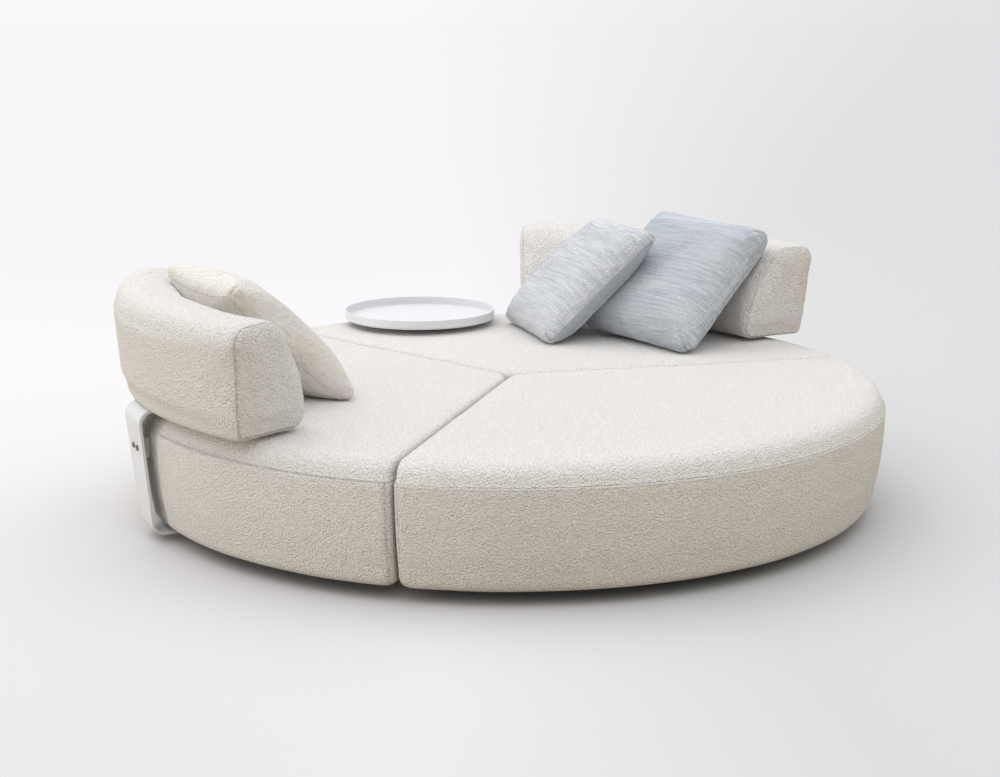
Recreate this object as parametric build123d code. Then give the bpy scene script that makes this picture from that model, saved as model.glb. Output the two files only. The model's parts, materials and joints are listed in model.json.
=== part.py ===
from build123d import *
from math import atan2, cos, degrees, pi, radians, sin, sqrt
import os

# A round lounge island in three equal modules, with two backrests and a tray on its edge.
# Millimetres, +Z up. The origin is the island's centre on the floor, and -Y is the front.

# Island
floor_gap = 40
seat_height = 400
base_reach = 1165
rim_reach = 1200
wall_bulge = 8
top_round_width = 75
top_round_height = 69
crown_rise = 3
crown_width = 60
bottom_round = 24
side_round = 18
joint_gap_top = 3
joint_gap_bottom = 10
corner_round = 26
centre_round = 70
least_corner = 6
module_angles = {"rear": 90, "left": 210, "right": 330}

# Cover, foam and underside of a module
cover_thickness = 3
foam_fit = 0.3
foam_wall = 42
lip_width = 50
underside_thickness = 2
underside_inset = 34
foam_pad_thickness = 106

# Frame and deck of a module
frame_fit = 1
rail_width = 40
rail_height = 40
rail_wall = 3
post_width = 30
tie_width = 30
post_turn = 48
foot_rail_inset = 205
deck_thickness = 15
drain_radius = 30
drain_reach = 700
drain_turn = 22

# Feet
foot_radius = 30
foot_edge = 3
foot_turn = 38
foot_screw_radius = 5
foot_screw_rise = 20
foot_head_radius = 9
foot_head_height = 6
foot_head_depth = 9
screw_fit = 0.3

# Backrests: each bracket's angle, the reach of the block's middle, and how far the block is turned on it
backrests = {
    "left": {"angle": 221.3, "reach": 1219, "turn": -1.7},
    "rear": {"angle": 74.1, "reach": 1254, "turn": -2.6},
}
backrest_radius = 1261
backrest_half_turn = 27.3
backrest_height = 322
backrest_depth = 262
backrest_lean = 26
backrest_end_lean = 24
backrest_end_length = 70
backrest_end_round = 20
backrest_low_round = 16
backrest_outer_round = 50
backrest_top_round = 84
backrest_belly_round = 300
backrest_inner_round = 44
top_depth_share = 0.61
belly_depth_share = 0.93
belly_height_share = 0.49

# Backrest core
core_fit = 0.3
core_plate_thickness = 12
core_plate_inner = 52
core_plate_outer = 50
core_upright_inset = 120
core_upright_thickness = 14
core_height = 230
core_end_margin = 90

# Brackets
bracket_thickness = 8
bracket_bend = 40
bracket_low_reach = 1207
bracket_high_reach = 1245
bracket_drop = 16
bracket_width_top = 165
bracket_width_bottom = 132
bracket_corner = 12
bracket_lower_length = 150
bracket_upper_length = 205
tray_bracket_upper_length = 360
seat_fit = 0.3
seat_pad_thickness = 2
seat_pad_length = 120
pad_inset = 10
base_pad_length = 50
side_pad_width = 64
side_pad_height = 60
bracket_screw_height = 288
bracket_screw_spacing = 43
bracket_screw_radius = 4
bracket_head_radius = 9
bracket_head_height = 4
bracket_screw_length = 26
bracket_socket_radius = 3.5
bracket_socket_depth = 2

# Countersunk bolts from the upper leg
bolt_radius = 4
bolt_head_radius = 7.5
bolt_head_height = 4
bolt_recess = 0.5
bolt_rise = 9
bolt_spacing_across = 90
core_bolt_reach = 1110
core_bolt_spacing = 70
disc_bolt_reach = 1010
disc_bolt_spacing = 120

# Tray
tray_angle = 125
tray_reach = 985
tray_radius = 280
tray_height = 34
tray_thickness = 4
tray_low_round = 9
tray_floor_round = 6
tray_lip_round = 1.8
disc_radius = 200
disc_thickness = 10
disc_edge = 2

# Cushions: side, thickness at the middle, and the edge's own thickness
cushion_cover_thickness = 2.5
cushion_fit = 0.3
cushion_least_bow = 1
cushion_corner = 16
zip_width = 4
zip_depth = 1.5
zip_length = 300
cushions = {
    "beige": {"side": 505, "thickness": 170, "edge": 9, "bow": 12},
    "small_blue": {"side": 508, "thickness": 145, "edge": 40, "bow": 6},
    "large_blue": {"side": 545, "thickness": 170, "edge": 22, "bow": 7},
}
# A cushion's bottom edge stands in front of a backrest's face: how far out its middle is, how far it is
# along from the bracket in degrees, how far it is turned from the face, and how far the cushion leans back
cushion_stands = {
    "beige": {"backrest": "left", "foot_out": 315.8, "along": -7.36, "skew": 4.7, "lean": 46.5},
    "small_blue": {"backrest": "rear", "foot_out": 302.5, "along": 25.2, "skew": -42.4, "lean": 47.2},
    "large_blue": {"backrest": "rear", "foot_out": 334.5, "along": -10.5, "skew": -17.6, "lean": 48.5},
}
# How far in from the edge, as a share of the half side, and how high the crown is there
crown_shares = [(0, 0), (0.02, 0.2), (0.07, 0.43), (0.15, 0.63), (0.28, 0.8), (0.5, 0.94), (0.8, 1)]

# One length that is longer than every cut and one that runs past a face
reach_past = 3000
overrun = 5

# Solids that stand on their lower face
standing = (Align.CENTER, Align.CENTER, Align.MIN)

# Heights that follow from the sizes above
rim_height = seat_height - crown_rise - top_round_height
underside_low = floor_gap + cover_thickness
underside_high = underside_low + underside_thickness
deck_high = seat_height - cover_thickness - foam_fit - foam_pad_thickness
deck_low = deck_high - deck_thickness
leg_low = seat_height + seat_fit + seat_pad_thickness
leg_high = leg_low + bracket_thickness
lower_leg_low = floor_gap - bracket_drop
lower_leg_high = lower_leg_low + bracket_thickness
half_sector = 60


def place(shape, angle):
    return Rot(0, 0, angle) * shape


def point_at(reach, angle, height):
    return Vector(reach * cos(radians(angle)), reach * sin(radians(angle)), height)


# A 120 degree sector about +X: two straight sides, an outer arc and three rounded corners.
def sector_face(height, reach, side, corner, centre):
    along = Vector(cos(radians(half_sector)), sin(radians(half_sector)))
    inward = Vector(sin(radians(half_sector)), -cos(radians(half_sector)))
    corner_along = sqrt((reach - corner) ** 2 - (side + corner) ** 2)
    corner_centre = along * corner_along + inward * (side + corner)
    side_end = along * corner_along + inward * side
    arc_end = corner_centre * (reach / (reach - corner))
    bisector = ((side_end - corner_centre).normalized() + arc_end.normalized()).normalized()
    corner_middle = corner_centre + bisector * corner
    apex = side / sin(radians(half_sector))
    centre_x = apex + centre / sin(radians(half_sector))
    side_start = Vector(centre_x, 0) - inward * centre
    centre_middle = Vector(centre_x - centre, 0)

    def upper(v):
        return (v.X, v.Y)

    def lower(v):
        return (v.X, -v.Y)

    edges = [
        ThreePointArc(lower(side_start), upper(centre_middle), upper(side_start)),
        Line(upper(side_start), upper(side_end)),
        ThreePointArc(upper(side_end), upper(corner_middle), upper(arc_end)),
        ThreePointArc(upper(arc_end), (reach, 0), lower(arc_end)),
        ThreePointArc(lower(arc_end), lower(corner_middle), lower(side_end)),
        Line(lower(side_end), lower(side_start)),
    ]
    return Pos(0, 0, height) * make_face(edges)


def wall_reach(height):
    share = (height - floor_gap) / (rim_height - floor_gap)
    return base_reach + (rim_reach - base_reach) * share + wall_bulge * sin(pi * share)


def side_gap(height):
    share = (height - floor_gap) / (seat_height - floor_gap)
    return (joint_gap_bottom + (joint_gap_top - joint_gap_bottom) * share) / 2


def rounding(radius, distance):
    if distance >= radius:
        return 0
    return radius - sqrt(radius ** 2 - (radius - distance) ** 2)


# Heights, reaches and side insets of a module's skin, from its bottom to its crown
def module_levels():
    levels = []
    for turn in (90, 60, 30):
        height = floor_gap + bottom_round * (1 - sin(radians(turn)))
        inset = rounding(bottom_round, height - floor_gap)
        levels.append((height, wall_reach(height) - inset, side_gap(height) + inset))
    wall_low = floor_gap + bottom_round
    for share in (0, 1 / 3, 2 / 3, 1):
        height = wall_low + (rim_height - wall_low) * share
        levels.append((height, wall_reach(height), side_gap(height)))
    shoulder = seat_height - crown_rise
    for turn in (20, 40, 55, 68, 80, 90):
        height = rim_height + top_round_height * sin(radians(turn))
        reach = rim_reach - top_round_width * (1 - cos(radians(turn)))
        inset = rounding(side_round, shoulder - height)
        levels.append((height, reach, side_gap(height) + inset))
    for share in (0.5, 1):
        height = shoulder + crown_rise * sin(radians(90 * share))
        reach = rim_reach - top_round_width - crown_width * share
        levels.append((height, reach, side_gap(height) + side_round + crown_width * share))
    return levels


# A module's outer form, or the same form drawn in by a wall.
def module_form(inset):
    sections = []
    squeeze = (seat_height - floor_gap - 2 * inset) / (seat_height - floor_gap)
    for height, reach, side in module_levels():
        level = floor_gap + inset + (height - floor_gap) * squeeze
        corner = corner_round - inset
        sections.append(sector_face(level, reach - inset, side + inset, corner, centre_round - inset))
    return loft(sections, ruled=True)


def module_prism(low, high, inset):
    side = joint_gap_bottom / 2 + inset
    corner = max(corner_round - inset, least_corner)
    centre = max(centre_round - inset, least_corner)
    face = sector_face(low, base_reach - inset, side, corner, centre)
    return extrude(face, high - low, dir=(0, 0, 1))


def module_cover():
    opening = module_prism(floor_gap - overrun, underside_low + overrun, lip_width)
    return module_form(0) - module_form(cover_thickness) - opening


def module_foam():
    block = module_form(cover_thickness + foam_fit)
    below = Pos(0, 0, underside_high + foam_fit - reach_past / 2) * Box(reach_past, reach_past, reach_past)
    return block - below - module_prism(floor_gap, deck_high, foam_wall)


def foot_places():
    middle = foot_rail_inset + rail_width / 2
    reach = base_reach - middle
    apex = (middle + joint_gap_bottom / 2) / sin(radians(half_sector))
    places = [Vector(apex, 0, 0)]
    for turn in (-foot_turn, 0, foot_turn):
        places.append(point_at(reach, turn, 0))
    return places


def hollow_ring(low, inset):
    high = low + rail_height
    outer = module_prism(low, high, inset) - module_prism(low, high, inset + rail_width)
    channel_low = low + rail_wall
    channel_high = high - rail_wall
    channel = module_prism(channel_low, channel_high, inset + rail_wall)
    channel -= module_prism(channel_low, channel_high, inset + rail_width - rail_wall)
    return outer - channel


def module_frame():
    ring_inset = foam_wall + frame_fit
    upper_low = deck_low - rail_height
    frame = hollow_ring(underside_high, ring_inset) + hollow_ring(upper_low, ring_inset)
    frame += hollow_ring(underside_high, foot_rail_inset)
    middle = ring_inset + rail_width / 2
    post_low = underside_high + rail_height
    post_height = upper_low - post_low
    apex = (middle + joint_gap_bottom / 2) / sin(radians(half_sector))
    posts = [Vector(apex, 0, 0)]
    for turn in (-post_turn, 0, post_turn):
        posts.append(point_at(base_reach - middle, turn, 0))
    for spot in posts:
        turn = degrees(atan2(spot.Y, spot.X))
        post = Box(post_width, post_width, post_height, align=standing)
        frame += Pos(spot.X, spot.Y, post_low) * Rot(0, 0, turn) * post
    tie_end = base_reach - ring_inset - rail_width + rail_wall
    tie_start = base_reach - foot_rail_inset - rail_wall
    for turn in (-foot_turn, 0, foot_turn):
        tie = Box(tie_end - tie_start, tie_width, rail_height, align=(Align.MIN, Align.CENTER, Align.MIN))
        frame += place(Pos(tie_start, 0, underside_high) * tie, turn)
    hole_radius = foot_screw_radius + screw_fit
    for spot in foot_places():
        hole = Cylinder(hole_radius, rail_height, align=standing)
        frame -= Pos(spot.X, spot.Y, underside_high - rail_wall) * hole
    return frame


def module_deck():
    deck = module_prism(deck_low, deck_high, foam_wall + frame_fit)
    for reach in (drain_reach / 2, drain_reach):
        for turn in (-drain_turn, 0, drain_turn):
            spot = point_at(reach, turn, deck_low - overrun)
            hole = Cylinder(drain_radius, deck_thickness + 2 * overrun, align=standing)
            deck -= Pos(spot.X, spot.Y, spot.Z) * hole
    return deck


def module_underside():
    sheet = module_prism(underside_low, underside_high, underside_inset)
    for spot in foot_places():
        hole = Cylinder(foot_screw_radius + screw_fit, reach_past)
        sheet -= Pos(spot.X, spot.Y, 0) * hole
    return sheet


def foot():
    puck = Cylinder(foot_radius, underside_low, align=standing)
    puck = fillet(puck.edges().group_by(Axis.Z)[0], foot_edge)
    puck -= Cylinder(foot_screw_radius + screw_fit, reach_past)
    recess = Cylinder(foot_head_radius + screw_fit, 2 * foot_head_depth)
    return puck - recess


def foot_screw():
    low = foot_head_depth - foot_head_height
    head = Cylinder(foot_head_radius, foot_head_height, align=standing)
    length = underside_high + foot_screw_rise - foot_head_depth
    shank = Cylinder(foot_screw_radius, length, align=standing)
    return Pos(0, 0, low) * head + Pos(0, 0, foot_head_depth) * shank


def at_feet(shape):
    return [Pos(spot.X, spot.Y, 0) * shape for spot in foot_places()]


# The bracket's outer leg leans outwards: the reach of its outer face at a height.
def leg_reach(height):
    share = (height - lower_leg_low) / (leg_high - lower_leg_low)
    return bracket_low_reach + (bracket_high_reach - bracket_low_reach) * share


leg_turn = atan2(bracket_high_reach - bracket_low_reach, leg_high - lower_leg_low)
leg_step = bracket_thickness / cos(leg_turn)


# The bent line from the lower leg's end to the upper leg's end, on the bracket's outer or inner face.
def bracket_line(upper_length, inner):
    low = lower_leg_high if inner else lower_leg_low
    high = leg_low if inner else leg_high
    step = leg_step if inner else 0
    bend = bracket_bend - bracket_thickness if inner else bracket_bend
    points = [
        (bracket_low_reach - bracket_lower_length, 0, low),
        (leg_reach(low) - step, 0, low),
        (leg_reach(high) - step, 0, high),
        (bracket_high_reach - upper_length, 0, high),
    ]
    return FilletPolyline(*points, radius=bend)


# The bracket seen from outside narrows towards the floor and has rounded corners.
def bracket_outline(upper_length):
    outer = bracket_line(upper_length, False)
    inner = bracket_line(upper_length, True)
    end_lines = [Line(outer @ 0, inner @ 0), Line(outer @ 1, inner @ 1)]
    profile = make_face(outer.edges() + inner.edges() + end_lines)
    plate = extrude(profile, bracket_width_top / 2, both=True)
    half_top = bracket_width_top / 2
    half_low = bracket_width_bottom / 2
    taper = Polyline(
        (0, -half_low, lower_leg_low - overrun),
        (0, half_low, lower_leg_low - overrun),
        (0, half_top, leg_low - bracket_bend),
        (0, half_top, leg_high + overrun),
        (0, -half_top, leg_high + overrun),
        (0, -half_top, leg_low - bracket_bend),
        close=True,
    )
    plate = plate & extrude(make_face(taper), reach_past, dir=(1, 0, 0))
    ends = [bracket_low_reach - bracket_lower_length, bracket_high_reach - upper_length]
    corners = []
    for edge in plate.edges().filter_by(Axis.Z):
        middle = edge.center()
        if min(abs(middle.X - end) for end in ends) < overrun:
            corners.append(edge)
    return fillet(corners, bracket_corner)


# A shape made along +X at the origin is turned square to the outer leg, on its outer face.
def on_leg(shape, across, height):
    return Pos(leg_reach(height), across, height) * Rot(0, degrees(leg_turn), 0) * shape


def screw_places():
    return [-bracket_screw_spacing / 2, bracket_screw_spacing / 2]


def bracket_screws():
    screws = []
    for across in screw_places():
        head = Cylinder(bracket_head_radius, bracket_head_height, rotation=(0, 90, 0))
        head = Pos(bracket_head_height / 2, 0, 0) * head
        rim = head.edges().group_by(Axis.X)[-1]
        head = fillet(rim, bracket_head_height / 4)
        socket = RegularPolygon(bracket_socket_radius, 6)
        socket = extrude(Plane.YZ * socket, bracket_socket_depth)
        head -= Pos(bracket_head_height - bracket_socket_depth, 0, 0) * socket
        shank = Cylinder(bracket_screw_radius, bracket_screw_length, rotation=(0, 90, 0))
        head += Pos(-bracket_screw_length / 2, 0, 0) * shank
        screws.append(on_leg(head, across, bracket_screw_height))
    return screws


def screw_holes():
    holes = []
    length = 2 * (bracket_screw_length + screw_fit)
    for across in screw_places():
        hole = Cylinder(bracket_screw_radius + screw_fit, length, rotation=(0, 90, 0))
        holes.append(on_leg(hole, across, bracket_screw_height))
    return holes


def bolt_places(reach, spacing):
    spots = []
    for along in (-spacing / 2, spacing / 2):
        for across in (-bolt_spacing_across / 2, bolt_spacing_across / 2):
            spots.append(Vector(reach + along, across, leg_low))
    return spots


# A countersunk bolt, or the hole that it goes in, pointing up from the upper leg's lower face
def bolt(spot, clearance):
    cone = Cone(bolt_head_radius + clearance, bolt_radius + clearance, bolt_head_height, align=standing)
    length = bracket_thickness - bolt_recess + bolt_rise + clearance
    shank = Cylinder(bolt_radius + clearance, length, align=standing)
    shape = Pos(0, 0, bolt_recess) * cone + Pos(0, 0, bolt_recess) * shank
    if clearance:
        mouth = Cylinder(bolt_head_radius + clearance, bolt_recess + overrun)
        shape += Pos(0, 0, (bolt_recess - overrun) / 2) * mouth
    return Pos(spot.X, spot.Y, spot.Z) * shape


def bracket(upper_length, bolt_reach, bolt_spacing):
    plate = bracket_outline(upper_length)
    for hole in screw_holes():
        plate -= hole
    for spot in bolt_places(bolt_reach, bolt_spacing):
        plate -= bolt(spot, screw_fit)
    return plate


# Three pads that keep the plate off the cover: on the seat, under the base and behind the outer leg
def bracket_pads(upper_length):
    inner_end = bracket_high_reach - upper_length
    seat_pad = Box(
        seat_pad_length,
        bracket_width_top - 2 * pad_inset,
        seat_pad_thickness,
        align=(Align.MIN, Align.CENTER, Align.MIN),
    )
    seat_pad = Pos(inner_end, 0, seat_height + seat_fit) * seat_pad
    base_pad = Box(
        base_pad_length,
        bracket_width_bottom - 2 * pad_inset,
        floor_gap - seat_fit - lower_leg_high,
        align=(Align.MAX, Align.CENTER, Align.MIN),
    )
    base_pad = Pos(base_reach - bottom_round, 0, lower_leg_high) * base_pad
    low = bracket_screw_height - side_pad_height / 2
    high = bracket_screw_height + side_pad_height / 2
    face = wall_reach(high) + seat_fit
    back = Polyline(
        (face, 0, low),
        (face, 0, high),
        (leg_reach(high) - leg_step, 0, high),
        (leg_reach(low) - leg_step, 0, low),
        close=True,
    )
    side_pad = extrude(make_face(back), side_pad_width / 2, both=True)
    for hole in screw_holes():
        side_pad -= hole
    return [seat_pad, base_pad, side_pad]


# The backrest's cross section, with reach along X and height along Y, drawn in by an inset.
def backrest_section(inset):
    corners = [
        (0, 0, backrest_low_round),
        (0, 1, backrest_outer_round),
        (top_depth_share, 1, backrest_top_round),
        (belly_depth_share, belly_height_share, backrest_belly_round),
        (1, 0, backrest_inner_round),
    ]
    points = []
    radii = []
    for depth, height, radius in corners:
        reach = backrest_radius + backrest_lean * height - backrest_depth * depth
        points.append(Vector(reach, backrest_height * height))
        radii.append(max(radius - inset, least_corner / 2))
    drawn_in = []
    count = len(points)
    for i in range(count):
        before = (points[i] - points[i - 1]).normalized()
        after = (points[(i + 1) % count] - points[i]).normalized()
        side = Vector(-before.Y, before.X) + Vector(-after.Y, after.X)
        length = inset / (side.length / 2)
        corner = points[i] + side.normalized() * length
        drawn_in.append((corner.X, corner.Y))
    return make_face(FilletPolyline(*drawn_in, radius=radii, close=True).edges())


# A section stood up at an angle round the island; its plane can lean outwards.
def stand_section(section, turn, lean):
    upright = Plane(origin=(0, 0, leg_high), x_dir=(1, 0, 0), z_dir=(0, -1, 0))
    tipped = Pos(0, 0, leg_high) * Rot(-lean, 0, 0) * Pos(0, 0, -leg_high)
    return Rot(0, 0, turn) * tipped * (upright * section)


# The backrest's outer form: a turned middle, and ends that lean outwards and are rounded.
def backrest_form(inset):
    end_turn = degrees(backrest_end_length / backrest_radius)
    middle_turn = backrest_half_turn - end_turn
    middle = revolve(stand_section(backrest_section(inset), -middle_turn, 0), Axis.Z, 2 * middle_turn)
    lean = degrees(atan2(backrest_end_lean, backrest_height))
    for side in (-1, 1):
        sections = [stand_section(backrest_section(inset), side * middle_turn, 0)]
        for turn in (0, 30, 60, 90):
            run = backrest_end_round * (1 - sin(radians(turn)))
            draw = backrest_end_round * (1 - cos(radians(turn)))
            angle = backrest_half_turn - degrees((run + inset) / backrest_radius)
            section = backrest_section(inset + draw)
            sections.append(stand_section(section, side * angle, side * lean))
        middle += loft(sections, ruled=True)
    return middle


def core_face(clearance):
    plate_low = cover_thickness + core_fit
    plate_high = plate_low + core_plate_thickness + clearance
    inner = backrest_radius - backrest_depth + core_plate_inner - clearance
    outer = backrest_radius - core_plate_outer + clearance
    upright_outer = backrest_radius - core_upright_inset + clearance
    upright_inner = upright_outer - core_upright_thickness - 2 * clearance
    top = core_height + clearance
    low = plate_low - overrun if clearance else plate_low
    outline = Polyline(
        (inner, low),
        (outer, low),
        (outer, plate_high),
        (upright_outer, plate_high),
        (upright_outer, top),
        (upright_inner, top),
        (upright_inner, plate_high),
        (inner, plate_high),
        close=True,
    )
    return make_face(outline)


def backrest_core(clearance):
    turn = backrest_half_turn - degrees((core_end_margin - clearance) / backrest_radius)
    return revolve(stand_section(core_face(clearance), -turn, 0), Axis.Z, 2 * turn)


def core_holes():
    return [bolt(spot, screw_fit) for spot in bolt_places(core_bolt_reach, core_bolt_spacing)]


# The block's arc is turned a little on its bracket, about the middle of its outer face.
def on_bracket(shape, stand):
    return Pos(stand["reach"], 0, 0) * Rot(0, 0, stand["turn"]) * Pos(-backrest_radius, 0, 0) * shape


def drilled(shape):
    for hole in core_holes():
        shape -= hole
    return shape


def tray():
    low = leg_high + disc_thickness + seat_fit
    high = low + tray_height
    inner = tray_radius - tray_thickness
    floor = low + tray_thickness
    outline = FilletPolyline(
        (0, 0, low),
        (tray_radius, 0, low),
        (tray_radius, 0, high),
        (inner, 0, high),
        (inner, 0, floor),
        (0, 0, floor),
        radius=[tray_low_round, tray_lip_round, tray_lip_round, tray_floor_round],
    )
    face = make_face(outline.edges() + [Line((0, 0, floor), (0, 0, low))])
    return Pos(tray_reach, 0, 0) * revolve(face, Axis.Z, 360)


def tray_disc():
    disc = Cylinder(disc_radius, disc_thickness, align=standing)
    disc = Pos(tray_reach, 0, leg_high) * chamfer(disc.edges().group_by(Axis.Z)[0], disc_edge)
    for spot in bolt_places(disc_bolt_reach, disc_bolt_spacing):
        disc -= bolt(spot, screw_fit)
    return disc


# A cushion's outline at one level of its crown: four sides that bow inwards, four round corners
def cushion_outline(height, half, corner, bow):
    flat = half - corner
    inner = half - corner * (1 - sqrt(0.5))
    edges = []
    for turn in (0, 90, 180, 270):
        side = ThreePointArc((-flat, -half), (0, bow - half), (flat, -half))
        bend = ThreePointArc((flat, -half), (inner, -inner), (half, -flat))
        edges.append(Rot(0, 0, turn) * side)
        edges.append(Rot(0, 0, turn) * bend)
    return Pos(0, 0, height) * make_face(edges)


# A crowned cushion in its own plane, with its thickness along Z, drawn in by an inset
def cushion_form(size, inset):
    half = size["side"] / 2 - inset
    edge = size["edge"] / 2 - inset
    rise = size["thickness"] / 2 - size["edge"] / 2
    levels = []
    for draw, share in crown_shares:
        outline_half = half * (1 - draw)
        corner = cushion_corner + half * draw
        corner = min(corner, outline_half - cushion_least_bow)
        bow = max(size["bow"] * (1 - 2 * draw), cushion_least_bow)
        levels.append((edge + rise * share, outline_half, corner, bow))
    sections = []
    for height, outline_half, corner, bow in reversed(levels):
        sections.append(cushion_outline(-height, outline_half, corner, bow))
    for height, outline_half, corner, bow in levels:
        sections.append(cushion_outline(height, outline_half, corner, bow))
    return loft(sections, ruled=True)


# The zip lies in a groove in the cover, along the middle of the bottom edge.
def zip_bar(size, clearance):
    length = zip_length + 2 * clearance
    width = zip_width + 2 * clearance
    middle = Box(length, size["side"], width, align=(Align.CENTER, Align.MAX, Align.CENTER))
    skin = cushion_form(size, 0) - cushion_form(size, zip_depth + clearance)
    return skin & middle


# A cushion leans back about its bottom edge and stands on the seat in front of its backrest.
def lean_back(shape, size, stand, lift):
    leant = Rot(90 - stand["lean"], 0, 0) * Pos(0, size["side"] / 2, 0) * shape
    behind = backrests[stand["backrest"]]
    foot_reach = behind["reach"] - backrest_depth - stand["foot_out"]
    spot = point_at(foot_reach, behind["angle"] + stand["along"], lift)
    turn = behind["angle"] - 90 + stand["skew"]
    return Pos(spot.X, spot.Y, spot.Z) * Rot(0, 0, turn) * leant


def cushion_pieces(size, stand):
    outer = cushion_form(size, 0)
    cover = outer - cushion_form(size, cushion_cover_thickness) - zip_bar(size, cushion_fit)
    fill = cushion_form(size, cushion_cover_thickness + cushion_fit)
    low = lean_back(outer, size, stand, 0).bounding_box().min.Z
    lift = seat_height + seat_fit - low
    pieces = {"cover": cover, "fill": fill, "zip": zip_bar(size, 0)}
    return {name: lean_back(shape, size, stand, lift) for name, shape in pieces.items()}


def write(name, shapes, angle):
    if isinstance(shapes, list):
        solids = []
        for shape in shapes:
            solids.extend(shape.solids())
    else:
        solids = shapes.solids()
    placed = [place(solid, angle) for solid in solids]
    shape = placed[0] if len(placed) == 1 else Compound(children=placed)
    export_step(shape, os.path.join("parts", name + ".step"))


os.makedirs("parts", exist_ok=True)

module_shapes = {
    "frame": module_frame(),
    "deck": module_deck(),
    "foam": module_foam(),
    "cover": module_cover(),
    "underside": module_underside(),
    "feet": at_feet(foot()),
    "foot_screws": at_feet(foot_screw()),
}
for module, angle in module_angles.items():
    for name, shape in module_shapes.items():
        write(module + "_" + name, shape, angle)

cover_block = backrest_form(0) - backrest_form(cover_thickness)
foam_block = backrest_form(cover_thickness + foam_fit) - backrest_core(foam_fit)
core_block = backrest_core(0)
for side, stand in backrests.items():
    backrest_shapes = {
        "bracket": bracket(bracket_upper_length, core_bolt_reach, core_bolt_spacing),
        "bracket_pads": bracket_pads(bracket_upper_length),
        "bracket_screws": bracket_screws(),
        "backrest_core": drilled(on_bracket(core_block, stand)),
        "backrest_bolts": [bolt(spot, 0) for spot in bolt_places(core_bolt_reach, core_bolt_spacing)],
        "backrest_foam": on_bracket(foam_block, stand),
        "backrest_cover": drilled(on_bracket(cover_block, stand)),
    }
    for name, shape in backrest_shapes.items():
        write(side + "_" + name, shape, stand["angle"])

tray_shapes = {
    "tray": tray(),
    "tray_disc": tray_disc(),
    "tray_bracket": bracket(tray_bracket_upper_length, disc_bolt_reach, disc_bolt_spacing),
    "tray_bracket_pads": bracket_pads(tray_bracket_upper_length),
    "tray_bracket_screws": bracket_screws(),
    "tray_disc_bolts": [bolt(spot, 0) for spot in bolt_places(disc_bolt_reach, disc_bolt_spacing)],
}
for name, shape in tray_shapes.items():
    write(name, shape, tray_angle)

for cushion, size in cushions.items():
    for name, shape in cushion_pieces(size, cushion_stands[cushion]).items():
        write(cushion + "_cushion_" + name, shape, 0)
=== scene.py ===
import json
from math import atan2, cos, pi, radians, sin

import bmesh
import bpy
import numpy as np
from mathutils import Matrix, Vector, noise
from mathutils.bvhtree import BVHTree


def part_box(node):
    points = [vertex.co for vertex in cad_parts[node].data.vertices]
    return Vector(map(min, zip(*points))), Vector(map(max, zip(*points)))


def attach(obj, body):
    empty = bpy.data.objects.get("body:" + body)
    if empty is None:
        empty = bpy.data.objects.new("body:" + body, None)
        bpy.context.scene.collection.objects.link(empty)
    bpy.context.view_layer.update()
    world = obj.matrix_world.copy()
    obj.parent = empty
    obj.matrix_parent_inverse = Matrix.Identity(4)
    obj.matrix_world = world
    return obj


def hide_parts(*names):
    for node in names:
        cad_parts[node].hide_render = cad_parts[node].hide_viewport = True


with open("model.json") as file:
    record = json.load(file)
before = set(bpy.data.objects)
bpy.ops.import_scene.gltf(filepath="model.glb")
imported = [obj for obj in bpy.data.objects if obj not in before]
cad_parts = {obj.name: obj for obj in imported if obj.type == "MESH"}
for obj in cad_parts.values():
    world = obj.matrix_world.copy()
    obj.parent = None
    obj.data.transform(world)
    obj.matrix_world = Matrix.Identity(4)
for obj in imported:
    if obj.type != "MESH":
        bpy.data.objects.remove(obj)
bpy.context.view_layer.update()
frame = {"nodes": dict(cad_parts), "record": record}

scene = bpy.context.scene
print("frame loaded:", len(frame["nodes"]), "nodes")


# camera at the photograph's angle, taken from the round rim and the floor line
cameraSetup = {
    "place": (1.4584, -5.4164, 1.5585),
    "ahead": (-0.2592, 0.9425, -0.2112),
    "lens": 63.48,
    "sensor": 36,
}

cameraData = bpy.data.cameras.new("camera")
cameraData.lens = cameraSetup["lens"]
cameraData.sensor_width = cameraSetup["sensor"]
cameraData.clip_end = 200
camera = bpy.data.objects.new("camera", cameraData)
camera.location = cameraSetup["place"]
camera.rotation_euler = Vector(cameraSetup["ahead"]).to_track_quat("-Z", "Y").to_euler()
scene.collection.objects.link(camera)
scene.camera = camera
scene.view_settings.view_transform = "Standard"
print("camera placed")


# small helpers
def deselectAll():
    bpy.ops.object.select_all(action="DESELECT")


def makeActive(piece):
    deselectAll()
    piece.select_set(True)
    bpy.context.view_layer.objects.active = piece


def applyModifier(piece, kind, **settings):
    makeActive(piece)
    modifier = piece.modifiers.new(kind.lower(), kind)
    for key, value in settings.items():
        setattr(modifier, key, value)
    bpy.ops.object.modifier_apply(modifier=modifier.name)


def smoothShade(piece, angle=None):
    makeActive(piece)
    if angle is None:
        bpy.ops.object.shade_smooth()
    else:
        bpy.ops.object.shade_smooth_by_angle(angle=radians(angle))


def getPoints(piece):
    points = np.empty(len(piece.data.vertices) * 3)
    piece.data.vertices.foreach_get("co", points)
    return points.reshape(-1, 3)


def setPoints(piece, points):
    piece.data.vertices.foreach_set("co", np.ascontiguousarray(points).ravel())
    piece.data.update()


def getNormals(piece):
    normals = np.empty(len(piece.data.vertices) * 3)
    piece.data.vertices.foreach_get("normal", normals)
    return normals.reshape(-1, 3)


# materials: every one works on Object coordinates
def newMaterial(name, roughness):
    material = bpy.data.materials.new(name)
    material.use_nodes = True
    nodes = material.node_tree.nodes
    shader = nodes["Principled BSDF"]
    shader.inputs["Roughness"].default_value = roughness
    return material, nodes, material.node_tree.links, shader


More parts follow.
